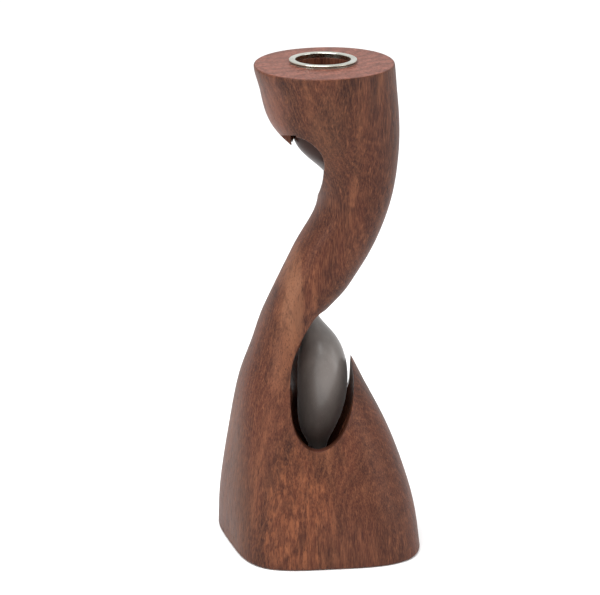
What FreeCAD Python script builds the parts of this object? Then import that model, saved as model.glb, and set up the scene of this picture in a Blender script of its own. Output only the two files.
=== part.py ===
import FreeCAD, Part
import math
import os
import Sketcher

# A carved hardwood candlestick: a wooden body that flares at the foot and at the head,
# with a slanting limb between them, a polished grey strand that runs from a pocket in
# the foot, along a channel in the limb's back, to a pocket under the head, and a metal
# collar in the socket on top.
# Frame: +Z up, the origin on the ground under the middle of the foot, +Y to the back.

doc = FreeCAD.newDocument("candlestick")
sheet = doc.addObject("Spreadsheet::Sheet", "sizes")
next_row = 1


def size(alias, value):
    """Write one driving size into the sheet, under its own alias."""
    global next_row
    sheet.set("A%d" % next_row, alias)
    sheet.set("B%d" % next_row, str(value))
    sheet.setAlias("B%d" % next_row, alias)
    next_row += 1


# ---------------------------------------------------------------- driving sizes, mm
size("body_height", 202)

# Horizontal sections of the wooden body, from the foot to the crown. "share" is the
# section's height as a share of the body's; the lengths are in mm. A section is a squared
# oval: bigger "squareness" gives fuller corners, and "skew" draws two opposite corners out
# and the other two in, by that share of their reach.
BODY_SECTIONS = {
    # name: (share, centre x, centre y, half width, half depth, squareness, skew)
    "foot": (0.000, -0.3, 0.0, 38.3, 37.3, 3.7, 0.048),
    "skirt": (0.110, -1.5, 0.0, 37.1, 36.1, 2.8, 0.055),
    "hip": (0.238, -4.1, 0.0, 32.0, 29.8, 2.6, 0.035),
    "loin": (0.347, -7.6, 0.0, 25.1, 24.2, 2.4, 0.015),
    "waist": (0.430, -9.2, -1.0, 18.1, 19.0, 2.3, 0.0),
    "bend": (0.480, -12.0, -1.5, 11.8, 16.5, 2.2, 0.0),
    "limb": (0.545, -4.0, -2.0, 14.5, 15.5, 2.2, 0.0),
    "rise": (0.634, 5.7, -2.0, 15.8, 15.0, 2.2, 0.0),
    "nape": (0.723, 13.6, -1.5, 14.4, 16.0, 2.2, 0.0),
    "jaw": (0.802, 13.0, -1.0, 17.8, 19.0, 2.2, 0.0),
    "brow": (0.881, 6.0, 0.0, 25.4, 25.0, 2.2, 0.0),
    "crown": (1.000, 1.7, 0.0, 28.2, 29.5, 2.1, -0.040),
}
SECTION_SIZES = (
    "share", "centre_x", "centre_y", "half_width", "half_depth", "squareness", "skew")
for name, values in BODY_SECTIONS.items():
    for key, value in zip(SECTION_SIZES, values):
        size("%s_%s" % (name, key), value)
size("section_turn", 12)            # degrees that every section is turned about +Z
size("foot_round", 1.4)             # rounded edge round the underside
size("crown_round", 0.7)            # rounded edge round the top face

# Round sections of the grey strand, from its foot to its top. "air" is the gap round the
# strand there: wide in the two pockets, a glue line in the limb's channel. "open_back" is
# how much further the channel reaches behind the strand, so that it is open to the back.
STRAND_SECTIONS = {
    # name: (share of the body's height, centre x, centre y, radius, air, open back)
    "strand_foot": (0.178, -1.0, 0.0, 4.5, 2.2, 0.0),
    "strand_heel": (0.228, -0.8, 0.0, 6.2, 3.0, 0.0),
    "strand_calf": (0.277, 0.3, 0.0, 9.2, 3.0, 0.0),
    "strand_belly": (0.332, 1.3, 0.0, 10.3, 3.0, 0.0),
    "strand_breast": (0.386, 1.1, 1.0, 9.8, 3.0, 2.0),
    "strand_throat": (0.431, -0.9, 4.5, 7.4, 1.2, 8.0),
    "strand_low_neck": (0.475, -6.8, 9.0, 5.6, 0.4, 10.0),
    "strand_mid_neck": (0.545, -2.5, 12.5, 5.0, 0.2, 8.0),
    "strand_high_neck": (0.644, 6.0, 12.5, 5.0, 0.2, 8.0),
    "strand_nape": (0.723, 11.5, 9.0, 5.6, 0.4, 10.0),
    "strand_chin": (0.777, 8.8, 4.5, 7.2, 1.2, 8.0),
    "strand_cheek": (0.812, 4.6, 1.0, 9.8, 2.0, 2.0),
    "strand_brow": (0.842, 1.4, 0.0, 11.3, 2.2, 0.0),
    "strand_crown": (0.866, 0.8, 0.0, 11.0, 2.2, 0.0),
}
STRAND_SIZES = ("share", "centre_x", "centre_y", "radius", "air", "open_back")
for name, values in STRAND_SECTIONS.items():
    for key, value in zip(STRAND_SIZES, values):
        size("%s_%s" % (name, key), value)
size("pocket_headroom", 0.8)        # air above the strand's top end
size("lower_opening_slope", 18)     # degrees that the lower opening sinks towards the back
size("lower_outline_y", -25)        # y of the upright plane that its outlines are drawn on
size("lower_front_end", -2)         # y where its wide front half stops
size("upper_opening_slope", 14.4)
size("upper_outline_y", -18)
size("ledge_end", -5)                # y where the ledge cut under the head stops
size("opening_reach", 60)           # how far the openings' cutters start outside the body
size("cutter_overshoot", 1)         # how far other cutters run past the face that they open

# The socket on top and its metal collar.
size("socket_x", 1.2)
size("socket_y", 1.5)
size("socket_radius", 11.0)
size("socket_depth", 20)
size("collar_wall", 0.8)
size("collar_sink", 0.6)            # how far the collar goes down into the wood
size("collar_seat_gap", 0.05)       # radial clearance of the collar in its counterbore
size("lip_overhang", 1.7)            # how far the lip stands out beyond the collar's tube
size("lip_underside", 0.6)          # height of the lip's underside above the top face
size("lip_thickness", 0.8)
size("lip_round", 0.35)
size("seat_ring_width", 1.25)
size("seat_ring_thickness", 0.35)

# The hidden fixings that hold the strand.
size("screw_radius", 2.0)
size("screw_grip", 10)              # length of thread inside the strand
size("screw_head_radius", 4.0)
size("screw_head_height", 2.4)
size("screw_slot_width", 0.9)
size("screw_slot_depth", 1.0)
size("counterbore_radius", 5.5)
size("counterbore_depth", 20)
size("dowel_radius", 2.0)
size("dowel_grip", 8)               # length of dowel inside the strand
size("dowel_chamfer", 0.4)
size("fixing_gap", 0.05)            # radial clearance of screw and dowel in their holes
doc.recompute()


def value_of(alias):
    """Read one size from the sheet."""
    return float(sheet.get(alias))


def worth(expression):
    """The present value of an expression on the sheet's sizes."""
    return float(sheet.evalExpression(expression.replace("sizes.", "")))


HEIGHT = value_of("body_height")
BODY_STEPS = 3          # sections lofted from each named section of the body to the next
STRAND_STEPS = 1        # the same for the strand
BODY_POINTS = 24        # points that a section of the body is drawn through
HOLLOW_POINTS = 16      # the same for the hollow round the strand
SAME_LEVEL = 0.01       # mm within which an edge counts as lying at a height


# ---------------------------------------------------------------- free-form outlines
def smooth_value(heights, values, height):
    """A smooth curve through (height, value) pairs, read at one height."""
    last = len(heights) - 1
    slopes = []
    for index in range(len(heights)):
        below, above = max(index - 1, 0), min(index + 1, last)
        slopes.append((values[above] - values[below]) / (heights[above] - heights[below]))
    index = max(i for i in range(last) if heights[i] <= height)
    span = heights[index + 1] - heights[index]
    part = (height - heights[index]) / span
    start, end = values[index], values[index + 1]
    return ((2 * part ** 3 - 3 * part ** 2 + 1) * start + (3 * part ** 2 - 2 * part ** 3) * end
            + (part ** 3 - 2 * part ** 2 + part) * span * slopes[index]
            + (part ** 3 - part ** 2) * span * slopes[index + 1])


def in_between(sections, keys, steps):
    """Sizes at every named section and at even steps between each two of them."""
    table = [[value_of("%s_%s" % (name, key)) for key in keys] for name in sections]
    columns = list(zip(*table))
    heights = columns[0]
    levels = []
    for low, high in zip(heights, heights[1:]):
        levels += [low + (high - low) * step / steps for step in range(steps)]
    levels.append(heights[-1])
    return [[level] + [smooth_value(heights, column, level) for column in columns[1:]]
            for level in levels]


def squared_oval(share, x, y, half_width, half_depth, power, skew):
    """One closed horizontal section of the wooden body."""
    turn = math.radians(value_of("section_turn"))
    outline = []
    for step in range(BODY_POINTS):
        angle = 2 * math.pi * step / BODY_POINTS
        across = abs(math.cos(angle) / half_width) ** power
        along = abs(math.sin(angle) / half_depth) ** power
        reach = (across + along) ** (-1 / power) * (1 - skew * math.sin(2 * angle))
        outline.append(FreeCAD.Vector(
            x + reach * math.cos(angle + turn), y + reach * math.sin(angle + turn), share * HEIGHT))
    return closed_curve(outline)


def closed_curve(outline):
    """One smooth closed wire through the points."""
    curve = Part.BSplineCurve()
    curve.interpolate(Points=outline, PeriodicFlag=True)
    return Part.Wire(curve.toShape())


def body_loft():
    """The wooden body before anything is cut from it."""
    wires = [squared_oval(*row) for row in in_between(BODY_SECTIONS, SECTION_SIZES, BODY_STEPS)]
    return Part.makeLoft(wires, True, False)


def strand_loft():
    """The grey strand: round sections on a winding centre line."""
    wires = []
    for share, x, y, radius, air, open_back in in_between(STRAND_SECTIONS, STRAND_SIZES, STRAND_STEPS):
        centre = FreeCAD.Vector(x, y, share * HEIGHT)
        wires.append(Part.Wire(Part.makeCircle(radius, centre, FreeCAD.Vector(0, 0, 1))))
    return Part.makeLoft(wires, True, False)


def hollow_wire(share, x, y, radius, air, open_back, raised=0):
    """One section of the hollow round the strand: a circle drawn out towards the back."""
    outline = []
    for step in range(HOLLOW_POINTS):
        angle = 2 * math.pi * step / HOLLOW_POINTS
        back = open_back if math.sin(angle) > 0 else 0
        outline.append(FreeCAD.Vector(
            x + (radius + air) * math.cos(angle),
            y + (radius + air + back) * math.sin(angle), share * HEIGHT + raised))
    return closed_curve(outline)


def strand_hollow():
    """The two pockets and the channel between them, cut for the strand."""
    rows = in_between(STRAND_SECTIONS, STRAND_SIZES, STRAND_STEPS)
    wires = [hollow_wire(*row) for row in rows]
    wires.append(hollow_wire(*rows[-1], raised=value_of("pocket_headroom")))
    return Part.makeLoft(wires, True, False)


def feature(name, shape):
    """A document object that holds a free-form shape."""
    holder = doc.addObject("Part::Feature", name)
    holder.Shape = shape
    holder.Placement = FreeCAD.Placement()
    return holder


def cut(name, base, tool):
    """base minus tool, as a boolean in the document."""
    result = doc.addObject("Part::Cut", name)
    result.Base = base
    result.Tool = tool
    doc.recompute()
    return result


def cylinder(name, radius, height, x, y, z):
    """An upright cylinder; every argument after the name is an expression."""
    solid = doc.addObject("Part::Cylinder", name)
    solid.setExpression("Radius", radius)
    solid.setExpression("Height", height)
    solid.setExpression("Placement.Base.x", x)
    solid.setExpression("Placement.Base.y", y)
    solid.setExpression("Placement.Base.z", z)
    return solid


def rounded(name, base, height, radius_alias):
    """Round the edge of the flat end of base that lies at the given height."""
    fillet = doc.addObject("Part::Fillet", name)
    fillet.Base = base
    radius = value_of(radius_alias)
    rim = [number for number, edge in enumerate(base.Shape.Edges, 1)
           if abs(edge.BoundBox.ZMin - height) < SAME_LEVEL
           and abs(edge.BoundBox.ZMax - height) < SAME_LEVEL]
    fillet.Edges = [(number, radius, radius) for number in rim]
    doc.recompute()
    return fillet


def slanted_prism(name, outline, corners, plane_y, start_y, end_y, slope):
    """An opening's cutter. The outline is a smooth curve through (x, share of height) points,
    drawn on the upright plane at plane_y and closed by straight lines through the corners. It is
    swept from start_y to end_y, sinking by slope degrees as it goes back."""
    sink = math.tan(math.radians(slope))

    def place(point):
        x, share = point
        return FreeCAD.Vector(x, start_y, share * HEIGHT - (start_y - plane_y) * sink)

    curve = Part.BSplineCurve()
    curve.interpolate([place(point) for point in outline])
    loop = [place(point) for point in [outline[-1], *corners, outline[0]]]
    edges = [curve.toShape()] + [Part.makeLine(a, b) for a, b in zip(loop, loop[1:])]
    face = Part.Face(Part.Wire(edges))
    depth = end_y - start_y
    return feature(name, face.extrude(FreeCAD.Vector(0, depth, -depth * sink)))


# ---------------------------------------------------------------- the wooden body
# Outlines of the openings, as (x in mm, share of the body's height). Each starts and ends
# outside the body. The front half of the lower opening shows the strand's pocket, and the
# back half lets the strand out to the right and behind. The upper opening goes right through,
# and the ledge takes the head's lower left edge off level in front, so that a hooked wall is
# left behind it.
LOWER_FRONT_OPENING = [
    (13.0, 0.564), (6.2, 0.542), (-1.0, 0.518), (-4.6, 0.492), (-8.2, 0.458), (-11.0, 0.416),
    (-11.9, 0.360), (-11.4, 0.310), (-8.6, 0.262), (-1.3, 0.233), (6.3, 0.250), (11.9, 0.300),
    (14.0, 0.366), (13.6, 0.406), (12.8, 0.428),
]
LOWER_BACK_OPENING = [
    (13.0, 0.570), (6.0, 0.548), (-1.4, 0.523), (-5.2, 0.496), (-7.7, 0.450), (-7.4, 0.392),
    (-4.0, 0.350), (1.0, 0.338), (7.2, 0.341), (11.3, 0.360), (12.7, 0.388), (12.9, 0.428),
]
UPPER_OPENING = [
    (-10.2, 0.874), (-7.1, 0.870), (-2.1, 0.854), (1.0, 0.833), (1.6, 0.802), (0.8, 0.776),
    (-1.1, 0.752),
]
UPPER_CORNERS = [(-2.8, 0.742), (-12.5, 0.840)]
UPPER_LEDGE = [(-24.0, 0.8768), (-16.0, 0.8770), (-9.6, 0.8768)]
UPPER_LEDGE_CORNERS = [(-8.6, 0.860), (-8.6, 0.800), (-24.0, 0.800)]
REACH = value_of("opening_reach")

SOCKET_FLOOR = "sizes.body_height - sizes.socket_depth"
STRAND_FOOT_Z = "sizes.strand_foot_share * sizes.body_height"
STRAND_TOP_Z = "sizes.strand_crown_share * sizes.body_height"

socket_bore = cylinder(
    "socket_bore", "sizes.socket_radius", "sizes.socket_depth + sizes.cutter_overshoot",
    "sizes.socket_x", "sizes.socket_y", SOCKET_FLOOR)
collar_counterbore = cylinder(
    "collar_counterbore", "sizes.socket_radius + sizes.collar_wall + sizes.collar_seat_gap",
    "sizes.collar_sink + sizes.cutter_overshoot", "sizes.socket_x", "sizes.socket_y",
    "sizes.body_height - sizes.collar_sink")
dowel_hole = cylinder(
    "dowel_hole", "sizes.dowel_radius + sizes.fixing_gap",
    "%s - %s + sizes.cutter_overshoot" % (SOCKET_FLOOR, STRAND_TOP_Z),
    "sizes.strand_crown_centre_x", "sizes.strand_crown_centre_y", STRAND_TOP_Z)
screw_hole = cylinder(
    "screw_hole", "sizes.screw_radius + sizes.fixing_gap",
    STRAND_FOOT_Z + " + sizes.cutter_overshoot",
    "sizes.strand_foot_centre_x", "sizes.strand_foot_centre_y", "0")
screw_counterbore = cylinder(
    "screw_counterbore", "sizes.counterbore_radius", "sizes.counterbore_depth",
    "sizes.strand_foot_centre_x", "sizes.strand_foot_centre_y", "0")
hollow = feature("strand_hollow", strand_hollow())
LOWER_PLANE = value_of("lower_outline_y")
LOWER_SPLIT = value_of("lower_front_end")
LOWER_SLOPE = value_of("lower_opening_slope")
lower_front = slanted_prism(
    "lower_front_opening", LOWER_FRONT_OPENING, [], LOWER_PLANE, -REACH, LOWER_SPLIT, LOWER_SLOPE)
lower_back = slanted_prism(
    "lower_back_opening", LOWER_BACK_OPENING, [], LOWER_PLANE, LOWER_SPLIT, REACH, LOWER_SLOPE)
UPPER_PLANE = value_of("upper_outline_y")
UPPER_SPLIT = value_of("ledge_end")
UPPER_SLOPE = value_of("upper_opening_slope")
upper = slanted_prism(
    "upper_opening", UPPER_OPENING, UPPER_CORNERS, UPPER_PLANE, -REACH, REACH, UPPER_SLOPE)
ledge = slanted_prism(
    "upper_ledge", UPPER_LEDGE, UPPER_LEDGE_CORNERS, UPPER_PLANE, -REACH, UPPER_SPLIT, UPPER_SLOPE)

blank = feature("wood_blank", body_loft())
wood = rounded("wood_foot_edge", blank, 0, "foot_round")
wood = rounded("wood_crown_edge", wood, HEIGHT, "crown_round")
for cutter in (socket_bore, collar_counterbore, dowel_hole, screw_hole, screw_counterbore,
               upper, ledge, lower_front, lower_back, hollow):
    wood = cut("wood_less_" + cutter.Name, wood, cutter)
wood.Label = "wood_body"

# ---------------------------------------------------------------- the grey strand
strand = feature("strand_loft", strand_loft())
strand = cut("strand_screw_bored", strand, cylinder(
    "strand_screw_hole", "sizes.screw_radius + sizes.fixing_gap", "sizes.screw_grip",
    "sizes.strand_foot_centre_x", "sizes.strand_foot_centre_y", STRAND_FOOT_Z))
strand = cut("grey_strand", strand, cylinder(
    "strand_dowel_hole", "sizes.dowel_radius + sizes.fixing_gap", "sizes.dowel_grip",
    "sizes.strand_crown_centre_x", "sizes.strand_crown_centre_y",
    STRAND_TOP_Z + " - sizes.dowel_grip"))
strand.Label = "grey_strand"


# ---------------------------------------------------------------- turned pieces
def origin_plane(body, role):
    """One of the body's own origin planes."""
    return next(plane for plane in body.Origin.OriginFeatures if plane.Role == role)


def turned_body(name, corners, x, y):
    """A turned piece: a closed profile of (radius, height) expressions, revolved about +Z."""
    body = doc.addObject("PartDesign::Body", name)
    body.Label = name
    points = [FreeCAD.Vector(worth(radius), worth(height), 0) for radius, height in corners]
    sketch = closed_sketch(body, name + "_profile", "XZ_Plane", points)
    for index, (radius, height) in enumerate(corners):
        for kind, expression, axis in (("DistanceX", radius, -2), ("DistanceY", height, -1)):
            if expression == "0":
                sketch.addConstraint(Sketcher.Constraint("PointOnObject", index, 1, axis))
            else:
                bind(sketch, expression, kind, -1, 1, index, 1)
    turned = body.newObject("PartDesign::Revolution", name + "_turned")
    turned.Profile = sketch
    turned.ReferenceAxis = (sketch, ["V_Axis"])
    turned.Angle = 360
    body.setExpression("Placement.Base.x", x)
    body.setExpression("Placement.Base.y", y)
    doc.recompute()
    return body


def closed_sketch(body, name, role, points):
    """A sketch on one of the body's origin planes: straight lines round a loop of points."""
    sketch = body.newObject("Sketcher::SketchObject", name)
    sketch.AttachmentSupport = [(origin_plane(body, role), "")]
    sketch.MapMode = "FlatFace"
    count = len(points)
    for index in range(count):
        sketch.addGeometry(Part.LineSegment(points[index], points[(index + 1) % count]), False)
    for index in range(count):
        sketch.addConstraint(Sketcher.Constraint("Coincident", index, 2, (index + 1) % count, 1))
    return sketch


def bind(sketch, expression, kind, *ends):
    """A dimension that follows an expression on the sheet's sizes."""
    sketch.addConstraint(Sketcher.Constraint(kind, *ends, worth(expression)))
    sketch.setExpression("Constraints[%d]" % (sketch.ConstraintCount - 1), expression)


def slotted(body, name, level, length, width, depth):
    """A straight slot cut up into the flat face at the given level, across the axis."""
    half_length, half_width = worth(length) / 2, worth(width) / 2
    corners = [FreeCAD.Vector(x, y, 0) for x, y in (
        (-half_length, -half_width), (half_length, -half_width),
        (half_length, half_width), (-half_length, half_width))]
    sketch = closed_sketch(body, name + "_outline", "XY_Plane", corners)
    sketch.setExpression("AttachmentOffset.Base.z", level)
    for index, kind in enumerate(("Horizontal", "Vertical", "Horizontal", "Vertical")):
        sketch.addConstraint(Sketcher.Constraint(kind, index))
    sketch.addConstraint(Sketcher.Constraint("Symmetric", 0, 1, 2, 1, -1, 1))
    bind(sketch, length, "DistanceX", 0, 1, 0, 2)
    bind(sketch, width, "DistanceY", 1, 1, 1, 2)
    doc.recompute()
    before = body.Shape.Volume
    pocket = body.newObject("PartDesign::Pocket", name)
    pocket.Profile = sketch
    pocket.Reversed = True
    pocket.setExpression("Length", depth)
    body.Tip = pocket
    doc.recompute()
    assert body.Shape.Volume < before, name + " cuts nothing"


def edges_rounded(body, name, radius, wanted):
    """Round the level edges of the body whose height and radius the test accepts."""
    base = body.Tip
    chosen = []
    for number, edge in enumerate(base.Shape.Edges, 1):
        box = edge.BoundBox
        if box.ZLength < SAME_LEVEL and wanted(box.ZMin, box.XLength / 2):
            chosen.append("Edge%d" % number)
    fillet = body.newObject("PartDesign::Fillet", name)
    fillet.Base = (base, chosen)
    fillet.setExpression("Radius", radius)
    body.Tip = fillet
    doc.recompute()


TOP = "sizes.body_height"
COLLAR_OUTER = "sizes.socket_radius + sizes.collar_wall"
LIP_RADIUS = COLLAR_OUTER + " + sizes.lip_overhang"
LIP_UNDER = TOP + " + sizes.lip_underside"
LIP_TOP = LIP_UNDER + " + sizes.lip_thickness"
collar = turned_body("socket_collar", [
    ("sizes.socket_radius", TOP + " - sizes.collar_sink"),
    (COLLAR_OUTER, TOP + " - sizes.collar_sink"),
    (COLLAR_OUTER, LIP_UNDER),
    (LIP_RADIUS, LIP_UNDER),
    (LIP_RADIUS, LIP_TOP),
    ("sizes.socket_radius", LIP_TOP),
], "sizes.socket_x", "sizes.socket_y")
edges_rounded(
    collar, "lip_rounding", "sizes.lip_round",
    lambda level, radius: level > worth(LIP_UNDER) - SAME_LEVEL
    and (radius > worth(COLLAR_OUTER) + SAME_LEVEL or level > worth(LIP_TOP) - SAME_LEVEL))

RING_INNER = COLLAR_OUTER + " + sizes.collar_seat_gap"
RING_OUTER = RING_INNER + " + sizes.seat_ring_width"
RING_TOP = TOP + " + sizes.seat_ring_thickness"
turned_body("seat_ring", [
    (RING_INNER, TOP),
    (RING_OUTER, TOP),
    (RING_OUTER, RING_TOP),
    (RING_INNER, RING_TOP),
], "sizes.socket_x", "sizes.socket_y")

HEAD_TOP_Z = "sizes.counterbore_depth"
HEAD_BOTTOM_Z = HEAD_TOP_Z + " - sizes.screw_head_height"
SCREW_TIP_Z = STRAND_FOOT_Z + " + sizes.screw_grip"
screw = turned_body("strand_screw", [
    ("0", HEAD_BOTTOM_Z),
    ("sizes.screw_head_radius", HEAD_BOTTOM_Z),
    ("sizes.screw_head_radius", HEAD_TOP_Z),
    ("sizes.screw_radius", HEAD_TOP_Z),
    ("sizes.screw_radius", SCREW_TIP_Z + " - 2 * sizes.screw_radius"),
    ("0", SCREW_TIP_Z),
], "sizes.strand_foot_centre_x", "sizes.strand_foot_centre_y")
slotted(
    screw, "screw_slot", HEAD_BOTTOM_Z,
    "2 * (sizes.screw_head_radius + sizes.cutter_overshoot)", "sizes.screw_slot_width",
    "sizes.screw_slot_depth")

DOWEL_TOP_Z = SOCKET_FLOOR
DOWEL_FOOT_Z = STRAND_TOP_Z + " - sizes.dowel_grip"
turned_body("strand_dowel", [
    ("0", DOWEL_FOOT_Z),
    ("sizes.dowel_radius - sizes.dowel_chamfer", DOWEL_FOOT_Z),
    ("sizes.dowel_radius", DOWEL_FOOT_Z + " + sizes.dowel_chamfer"),
    ("sizes.dowel_radius", DOWEL_TOP_Z + " - sizes.dowel_chamfer"),
    ("sizes.dowel_radius - sizes.dowel_chamfer", DOWEL_TOP_Z),
    ("0", DOWEL_TOP_Z),
], "sizes.strand_crown_centre_x", "sizes.strand_crown_centre_y")

# ---------------------------------------------------------------- checks and export
NODES = ("wood_body", "grey_strand", "socket_collar", "seat_ring", "strand_screw", "strand_dowel")
doc.recompute()
for item in doc.Objects:
    assert "Invalid" not in item.State and "Error" not in item.State, item.Name + " failed"
os.makedirs("parts", exist_ok=True)
for node in NODES:
    shape = doc.getObjectsByLabel(node)[0].Shape
    assert not shape.isNull() and shape.isValid(), node + " is not a sound solid"
    assert len(shape.Solids) == 1, node + " is %d solids" % len(shape.Solids)
    shape.exportStep("parts/%s.step" % node)
    print(node, "volume %.0f" % shape.Volume, "box", shape.BoundBox)
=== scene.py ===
"""Looks of a carved hardwood candlestick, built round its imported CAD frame."""

import math

import bpy
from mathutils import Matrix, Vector


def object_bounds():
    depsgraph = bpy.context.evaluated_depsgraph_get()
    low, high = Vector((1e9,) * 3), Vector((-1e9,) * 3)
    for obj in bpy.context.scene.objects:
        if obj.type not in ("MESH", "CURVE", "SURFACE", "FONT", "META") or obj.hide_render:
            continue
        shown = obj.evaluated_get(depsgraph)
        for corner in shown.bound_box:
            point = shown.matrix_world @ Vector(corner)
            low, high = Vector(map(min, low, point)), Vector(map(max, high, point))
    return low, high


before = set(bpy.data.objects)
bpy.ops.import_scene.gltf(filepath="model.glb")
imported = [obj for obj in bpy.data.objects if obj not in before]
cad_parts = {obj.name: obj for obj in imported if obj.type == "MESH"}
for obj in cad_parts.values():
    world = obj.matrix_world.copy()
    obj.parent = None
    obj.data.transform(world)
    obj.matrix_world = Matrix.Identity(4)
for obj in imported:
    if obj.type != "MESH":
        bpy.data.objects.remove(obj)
cad_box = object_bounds()

MM = 0.001


# ---------------------------------------------------------------- node helpers
class Recipe:
    """One material's node tree, with short calls for the nodes it uses most."""

    def __init__(self, name):
        self.material = bpy.data.materials.new(name)
        self.material.use_nodes = True
        self.tree = self.material.node_tree
        self.shader = self.tree.nodes["Principled BSDF"]
        self.place = self.add("ShaderNodeTexCoord").outputs["Object"]

    def add(self, kind, **settings):
        """A new node of the tree."""
        node = self.tree.nodes.new(kind)
        for key, value in settings.items():
            setattr(node, key, value)
        return node

    def feed(self, socket, value):
        """Give a socket a number, a colour or another node's output."""
        if isinstance(value, bpy.types.NodeSocket):
            self.tree.links.new(value, socket)
        else:
            socket.default_value = value

    def surface(self, name, value):
        """Give one input of the surface shader its value."""
        self.feed(self.shader.inputs[name], value)

    def math(self, operation, first, second=0.0):
        """One sum of two numbers, either of which may be another node's output."""
        node = self.add("ShaderNodeMath", operation=operation)
        self.feed(node.inputs[0], first)
        self.feed(node.inputs[1], second)
        return node.outputs[0]

    def parts(self, vector):
        """The X, Y and Z outputs of a vector."""
        node = self.add("ShaderNodeSeparateXYZ")
        self.feed(node.inputs[0], vector)
        return node.outputs

    def noise(self, size_mm, detail=2.0, roughness=0.5, distortion=0.0, turn=(0, 0, 0)):
        """Smooth random values in grains of about size_mm along each axis."""
        stretched = self.add("ShaderNodeMapping")
        self.feed(stretched.inputs["Vector"], self.place)
        stretched.inputs["Rotation"].default_value = turn
        stretched.inputs["Scale"].default_value = [1 / (MM * size) for size in size_mm]
        node = self.add("ShaderNodeTexNoise", normalize=True)
        self.feed(node.inputs["Vector"], stretched.outputs[0])
        node.inputs["Scale"].default_value = 1.0
        node.inputs["Detail"].default_value = detail
        node.inputs["Roughness"].default_value = roughness
        node.inputs["Distortion"].default_value = distortion
        return node.outputs["Fac"]

    def ramp(self, value, low, high, start=0.0, end=1.0):
        """Map low..high of value on to start..end, with soft ends."""
        node = self.add("ShaderNodeMapRange", interpolation_type="SMOOTHSTEP")
        self.feed(node.inputs["Value"], value)
        node.inputs["From Min"].default_value = low
        node.inputs["From Max"].default_value = high
        node.inputs["To Min"].default_value = start
        node.inputs["To Max"].default_value = end
        return node.outputs["Result"]

    def mix(self, share, first, second):
        """The first colour with a share of the second laid over it."""
        node = self.add("ShaderNodeMix", data_type="RGBA", blend_type="MIX")
        self.feed(node.inputs["Factor"], share)
        self.feed(node.inputs["A"], first)
        self.feed(node.inputs["B"], second)
        return node.outputs["Result"]

    def patch(self, centre_mm, reach_mm, ragged=0.5):
        """A soft-edged blot, 1 at its centre and 0 outside its reach, with ragged borders."""
        node = self.add("ShaderNodeMapping")
        self.feed(node.inputs["Vector"], self.place)
        node.inputs["Location"].default_value = [-c / r for c, r in zip(centre_mm, reach_mm)]
        node.inputs["Scale"].default_value = [1 / (MM * reach) for reach in reach_mm]
        away = self.add("ShaderNodeVectorMath", operation="LENGTH")
        self.feed(away.inputs[0], node.outputs[0])
        border = self.noise(BORDER_GRAIN, detail=4.0, roughness=0.65)
        wobble = self.math("MULTIPLY", self.math("SUBTRACT", border, 0.5), 2 * ragged)
        distance = self.math("ADD", away.outputs["Value"], wobble)
        return self.ramp(distance, BLOT_CORE, 1.0, 1.0, 0.0)

    def waves(self, distance, spacing_mm):
        """A wave from -1 to 1 that repeats at each spacing_mm of distance."""
        turns = self.math("MULTIPLY", distance, 2 * math.pi / (MM * spacing_mm))
        return self.math("SINE", turns)

    def bump(self, height, distance_mm, strength=1.0, normal=None):
        """A normal that follows small heights, over another normal if one is given."""
        node = self.add("ShaderNodeBump")
        node.inputs["Strength"].default_value = strength
        node.inputs["Distance"].default_value = distance_mm * MM
        self.feed(node.inputs["Height"], height)
        if normal is not None:
            self.feed(node.inputs["Normal"], normal)
        return node.outputs[0]


def srgb(red, green, blue):
    """A colour given as 0-255 screen values, in linear light."""
    def linear(value):
        value /= 255
        return value / 12.92 if value <= 0.04045 else ((value + 0.055) / 1.055) ** 2.4
    return (linear(red), linear(green), linear(blue), 1.0)


# ---------------------------------------------------------------- hardwood
WOOD_MID = srgb(74, 37, 25)
WOOD_DARK = srgb(38, 14, 9)
WOOD_LIGHT = srgb(128, 80, 55)
PORE_BROWN = srgb(34, 15, 11)
CURL_GOLD = srgb(146, 88, 57)
PALE_STREAK = srgb(124, 84, 62)
RED_BAND = srgb(60, 24, 16)
# The next colour is a painted highlight for the lit left facet of the head.
HEAD_LEFT_HIGHLIGHT = srgb(108, 66, 54)
END_PALE = srgb(132, 82, 68)
END_DARK = srgb(70, 34, 27)
END_CLOUD = srgb(86, 46, 36)

# The pith stands to the left of the piece and behind it, and leans.
PITH_LEFT_MM = 75
PITH_BEHIND_MM = 110
PITH_LEAN = 0.10
SWAY_MM = 30          # how far the growth bands wander over the length of the piece
RIPPLE_MM = 2.5       # and within a few centimetres
BAND_MM = 6.2
FINE_BAND_MM = 1.7

BORDER_GRAIN = (4, 4, 12)   # size in mm of the raggedness round a blot
BLOT_CORE = 0.35            # share of a blot's reach that has its full strength
FIGURE_CENTRE = (-9, -30, 18)
FIGURE_REACH = (20, 34, 42)
SANDED_EDGE_MM = 0.7
LEVEL_START, LEVEL_FULL = 0.80, 0.97   # how level a face is where end grain starts and is full

# Blots of other tone in the wood, one of them a painted highlight and one a painted shade: centre
# and reach in mm, colour, and how strong.
BLOTS = [
    (FIGURE_CENTRE, (17, 30, 36), srgb(84, 41, 25), 0.70),        # ground of the figured patch
    ((-34, -15, 25), (9, 30, 60), srgb(76, 49, 36), 0.55),        # left corner of the foot
    ((26, -25, 32), (16, 30, 42), srgb(62, 29, 18), 0.60),        # painted shade: the right of the foot darker, turned away from the light
    ((-11, -15, 108), (6, 22, 30), PALE_STREAK, 0.80),            # bright streak on the limb
    ((-14, -15, 84), (8, 22, 20), srgb(112, 70, 50), 0.60),       # and its lower end
    ((4, -18, 130), (9, 22, 26), RED_BAND, 0.45),                 # top of the limb
    ((20, -20, 160), (7, 26, 42), RED_BAND, 0.60),                # right side of the head
    ((-17, -12, 184), (8, 24, 30), HEAD_LEFT_HIGHLIGHT, 0.66),           # painted highlight: the head's left facet paler where the light falls on it
    ((2, -22, 178), (9, 24, 26), srgb(80, 50, 36), 0.55),         # middle of the head
    ((-28, -18, 62), (8, 24, 40), RED_BAND, 0.45),                # left edge over the foot
]


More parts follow.
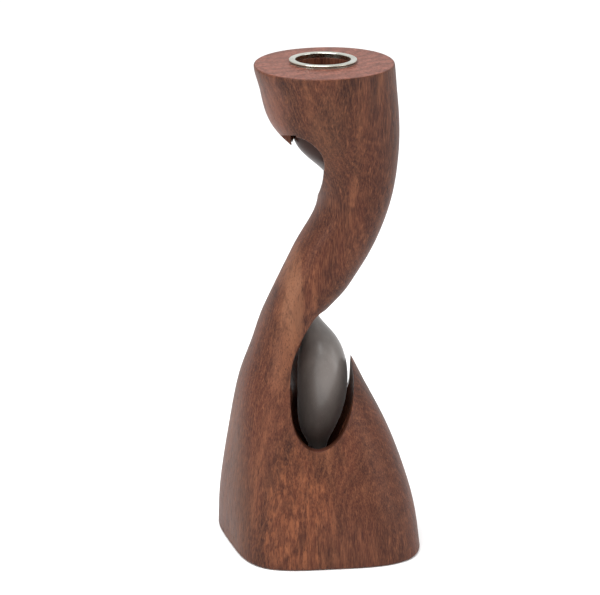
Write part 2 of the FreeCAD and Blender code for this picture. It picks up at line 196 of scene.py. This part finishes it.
def distance_from_pith(wood):
    """How far a point is from the leaning pith, in metres, with the wander of real growth."""
    sway = wood.noise((34, 34, 110))
    ripple = wood.noise((7, 7, 40), detail=3.0)
    place = wood.parts(wood.place)
    lean = wood.math("MULTIPLY", place["Z"], PITH_LEAN)
    east = wood.math("ADD", wood.math("ADD", place["X"], MM * PITH_LEFT_MM), lean)
    north = wood.math("ADD", place["Y"], -MM * PITH_BEHIND_MM)
    squares = wood.math("ADD", wood.math("MULTIPLY", east, east),
                        wood.math("MULTIPLY", north, north))
    reach = wood.math("SQRT", squares)
    reach = wood.math("ADD", reach, wood.math("MULTIPLY", sway, MM * SWAY_MM))
    return wood.math("ADD", reach, wood.math("MULTIPLY", ripple, MM * RIPPLE_MM))


def red_hardwood():
    """Oiled reddish-brown hardwood, its grain upright: growth bands, fibres, pores and figure."""
    wood = Recipe("red_hardwood")
    reach = distance_from_pith(wood)
    band = wood.waves(reach, BAND_MM)
    fine_band = wood.waves(reach, FINE_BAND_MM)

    # broad changes of tone, the blots (a painted highlight and a painted shade among them) and
    # the growth bands
    tone = wood.noise((15, 15, 60), detail=3.0, roughness=0.55)
    glow = wood.noise((8, 8, 34), detail=3.0, roughness=0.6, turn=(0.10, 0.16, 0))
    colour = wood.mix(wood.ramp(tone, 0.34, 0.66), WOOD_DARK, WOOD_MID)
    colour = wood.mix(wood.ramp(glow, 0.52, 0.74, 0.0, 0.5), colour, WOOD_LIGHT)
    for centre, size, tint, strength in BLOTS:
        blot = wood.patch(centre, size)
        colour = wood.mix(wood.math("MULTIPLY", blot, strength), colour, tint)
    colour = wood.mix(wood.ramp(band, -0.2, 1.0, 0.0, 0.26), colour, WOOD_DARK)
    colour = wood.mix(wood.ramp(fine_band, 0.0, 1.0, 0.0, 0.12), colour, WOOD_LIGHT)

    # fibres, flecks, the curls of the figured patch, darker clouds, and pores
    fibre = wood.noise((0.28, 0.28, 7.5), detail=4.0, roughness=0.68)
    fleck = wood.noise((0.8, 0.8, 5.0), detail=3.0, roughness=0.6, turn=(0.05, 0.10, 0))
    curl = wood.noise((1.7, 1.7, 7.5), detail=4.0, roughness=0.62, distortion=0.5)
    shade = wood.noise((4.5, 4.5, 9), detail=3.0, roughness=0.6, distortion=0.8)
    pore = wood.noise((0.40, 0.40, 3.4), detail=1.5)
    colour = wood.mix(wood.ramp(fibre, 0.40, 0.72, 0.0, 0.42), colour, WOOD_LIGHT)
    colour = wood.mix(wood.ramp(fibre, 0.30, 0.48, 0.45, 0.0), colour, WOOD_DARK)
    colour = wood.mix(wood.ramp(fleck, 0.52, 0.74, 0.0, 0.45), colour, WOOD_LIGHT)
    figured = wood.patch(FIGURE_CENTRE, FIGURE_REACH, ragged=0.4)
    curls = wood.math("MULTIPLY", wood.ramp(curl, 0.44, 0.70), figured)
    colour = wood.mix(wood.math("MULTIPLY", curls, 0.52), colour, CURL_GOLD)
    colour = wood.mix(wood.ramp(shade, 0.52, 0.70, 0.0, 0.42), colour, WOOD_DARK)
    pores = wood.ramp(pore, 0.62, 0.72)
    colour = wood.mix(wood.math("MULTIPLY", pores, 0.60), colour, PORE_BROWN)

    # end grain on the top face and the underside
    normal = wood.add("ShaderNodeNewGeometry").outputs["Normal"]
    upright = wood.math("ABSOLUTE", wood.parts(normal)["Z"])
    level = wood.ramp(upright, LEVEL_START, LEVEL_FULL)
    specks = wood.noise((1.1, 1.1, 1.1), detail=4.0, roughness=0.7)
    cloud = wood.noise((9, 9, 9), detail=3.0)
    end_grain = wood.mix(wood.ramp(specks, 0.40, 0.62, 0.0, 0.75), END_PALE, END_DARK)
    end_grain = wood.mix(wood.ramp(cloud, 0.40, 0.65, 0.0, 0.35), end_grain, END_CLOUD)
    end_grain = wood.mix(wood.ramp(band, -0.2, 1.0, 0.0, 0.30), end_grain, WOOD_DARK)
    colour = wood.mix(wood.math("MULTIPLY", level, 0.85), colour, end_grain)
    wood.surface("Base Color", colour)

    # satin oil: duller in the pores, and soft at the sanded edges
    rough = wood.ramp(fibre, 0.3, 0.7, 0.42, 0.56)
    wood.surface("Roughness", wood.math("ADD", rough, wood.math("MULTIPLY", pores, 0.2)))
    wood.surface("Specular IOR Level", 0.14)
    wood.surface("Coat Weight", 0.05)
    wood.surface("Coat Roughness", 0.25)
    sanded = wood.add("ShaderNodeBevel", samples=4)
    sanded.inputs["Radius"].default_value = SANDED_EDGE_MM * MM
    grain = wood.bump(fibre, 0.05, 0.5, sanded.outputs[0])
    sunk = wood.math("SUBTRACT", 1.0, pores)
    wood.surface("Normal", wood.bump(sunk, 0.08, 0.7, grain))
    wood.surface("Coat Normal", sanded.outputs[0])
    return wood.material


# ---------------------------------------------------------------- other materials
GREY_DEEP = srgb(94, 88, 84)
GREY_CLOUD = srgb(106, 99, 95)
GREY_SPECK = srgb(136, 128, 122)
# The next colour is painted shade and painted reflection of the wood, laid over the strand's
# head.
PAINTED_SHADE_BROWN = srgb(48, 31, 27)
SHADE_START, SHADE_END = 0.100, 0.128   # heights in metres over which the grey gives way to a painted brown shade and painted reflection of the wood
STEEL = srgb(196, 197, 186)
STEEL_DULL = srgb(150, 152, 138)
SCREW_STEEL = srgb(168, 168, 162)
LATHE_MM = 0.12
DOWEL_DARK = srgb(176, 138, 98)
DOWEL_PALE = srgb(206, 172, 130)


def polished_grey():
    """Grey cast piece, ground smooth: glossier and greyer in the foot; in the head painted dark
    brown, a painted shade and painted reflection of the wood round it.
    """
    grey = Recipe("polished_grey")
    height = grey.parts(grey.place)["Z"]

    def by_height(foot, head):
        return grey.ramp(height, SHADE_START, SHADE_END, foot, head)

    cloud = grey.noise((9, 9, 22), detail=3.0, roughness=0.55)
    speck = grey.noise((0.6, 0.6, 0.8))
    scuff = grey.noise((0.25, 0.25, 4.0), detail=3.0)
    colour = grey.mix(grey.ramp(cloud, 0.35, 0.65), GREY_DEEP, GREY_CLOUD)
    colour = grey.mix(grey.ramp(speck, 0.55, 0.75, 0.0, 0.2), colour, GREY_SPECK)
    # the head's part of the strand is painted dark brown: painted shade and painted reflection of
    # the wood round it
    grey.surface("Base Color", grey.mix(by_height(0.0, 1.0), colour, PAINTED_SHADE_BROWN))
    grey.surface("Roughness", grey.ramp(scuff, 0.3, 0.7, 0.30, 0.36))
    grey.surface("Specular IOR Level", by_height(0.35, 0.10))
    grey.surface("Coat Weight", by_height(0.20, 0.03))
    grey.surface("Coat Roughness", 0.22)
    grey.surface("Sheen Weight", by_height(0.50, 0.0))
    grey.surface("Sheen Roughness", 0.35)
    grey.surface("Normal", grey.bump(scuff, 0.004, 0.25))
    return grey.material


def bright_metal(name, colour, shiny, dull):
    """Bright turned metal: fine rings left by the lathe, and a few duller patches."""
    metal = Recipe(name)
    rings = metal.noise((14, 14, LATHE_MM))
    patch = metal.noise((5, 5, 5), detail=3.0)
    tint = metal.mix(metal.ramp(patch, 0.35, 0.7, 0.0, 0.5), colour, STEEL_DULL)
    metal.surface("Base Color", tint)
    metal.surface("Metallic", 1.0)
    metal.surface("Roughness", metal.ramp(patch, 0.3, 0.7, shiny, dull))
    metal.surface("Normal", metal.bump(rings, 0.01, 0.3))
    return metal.material


def dowel_wood():
    """Plain pale dowel with straight grain."""
    dowel = Recipe("dowel_wood")
    fibre = dowel.noise((0.3, 0.3, 6.0), detail=4.0)
    dowel.surface("Base Color", dowel.mix(dowel.ramp(fibre, 0.35, 0.65), DOWEL_DARK, DOWEL_PALE))
    dowel.surface("Roughness", dowel.ramp(fibre, 0.3, 0.7, 0.55, 0.7))
    dowel.surface("Normal", dowel.bump(fibre, 0.04, 0.4))
    return dowel.material


def dress(node, material):
    """Give a CAD node its finish."""
    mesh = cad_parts[node].data
    mesh.materials.clear()
    mesh.materials.append(material)


steel = bright_metal("bright_steel", STEEL, 0.14, 0.26)
dress("wood_body", red_hardwood())
dress("grey_strand", polished_grey())
dress("socket_collar", steel)
dress("seat_ring", steel)
dress("strand_screw", bright_metal("screw_steel", SCREW_STEEL, 0.28, 0.42))
dress("strand_dowel", dowel_wood())


# ---------------------------------------------------------------- studio
WHITE = (1, 1, 1, 1)
FLOOR_HALF = 3.0
FLOOR_DARK = (0.86, 0.86, 0.86, 1)
FLOOR_PALE = (0.88, 0.88, 0.88, 1)
LIGHT_TARGET = Vector((0, 0, 0.11))

# name, place, width and height in metres, power in watts
LIGHTS = [
    ("overhead", (-0.15, -0.25, 1.05), 0.9, 0.7, 10),
    ("left_front", (-0.85, -0.75, 0.75), 0.6, 0.9, 7),
    ("right_fill", (0.95, -0.35, 0.45), 0.5, 0.9, 3),
]

# The camera stands a metre off and looks down on the piece.
CAMERA_DISTANCE = 1.0
CAMERA_DROP = math.radians(18)
AIM = Vector((-0.0079, 0, 0.1046))
LENS_MM = 147.4
SENSOR_MM = 36


def floor_material():
    """Pale matt sweep with a faint tooth."""
    card = Recipe("pale_floor")
    tooth = card.noise((40, 40, 40), detail=3.0)
    card.surface("Base Color", card.mix(card.ramp(tooth, 0.3, 0.7), FLOOR_DARK, FLOOR_PALE))
    card.surface("Roughness", 0.9)
    return card.material


def place_in_scene(name, data):
    """A new object of the scene."""
    thing = bpy.data.objects.new(name, data)
    bpy.context.scene.collection.objects.link(thing)
    return thing


def aim(thing, place, target):
    """Put a light or the camera at a place, looking at a point."""
    place = Vector(place)
    thing.location = place
    thing.rotation_euler = (target - place).to_track_quat("-Z", "Y").to_euler()


def add_floor(height):
    """A pale floor at the object's lowest point."""
    mesh = bpy.data.meshes.new("floor")
    near, far = -FLOOR_HALF, FLOOR_HALF
    corners = [(near, near, height), (far, near, height), (far, far, height), (near, far, height)]
    mesh.from_pydata(corners, [], [(0, 1, 2, 3)])
    mesh.materials.append(floor_material())
    place_in_scene("floor", mesh)


def add_light(name, place, width, height, watts):
    """A soft rectangular light that looks at the piece."""
    data = bpy.data.lights.new(name, "AREA")
    data.shape = "RECTANGLE"
    data.size = width
    data.size_y = height
    data.energy = watts
    aim(place_in_scene(name, data), place, LIGHT_TARGET)


def add_camera():
    """The scene's camera."""
    data = bpy.data.cameras.new("camera")
    data.lens = LENS_MM
    data.sensor_width = SENSOR_MM
    camera = place_in_scene("camera", data)
    away = Vector((0, -math.cos(CAMERA_DROP), math.sin(CAMERA_DROP)))
    aim(camera, AIM + CAMERA_DISTANCE * away, AIM)
    bpy.context.scene.camera = camera


def add_world():
    """An even white surround."""
    world = bpy.data.worlds.new("studio")
    world.use_nodes = True
    background = world.node_tree.nodes["Background"]
    background.inputs["Color"].default_value = WHITE
    background.inputs["Strength"].default_value = 1.0
    bpy.context.scene.world = world


add_floor(cad_box[0][2])
add_world()
for light in LIGHTS:
    add_light(*light)
add_camera()
bpy.context.scene.view_settings.view_transform = "Standard"
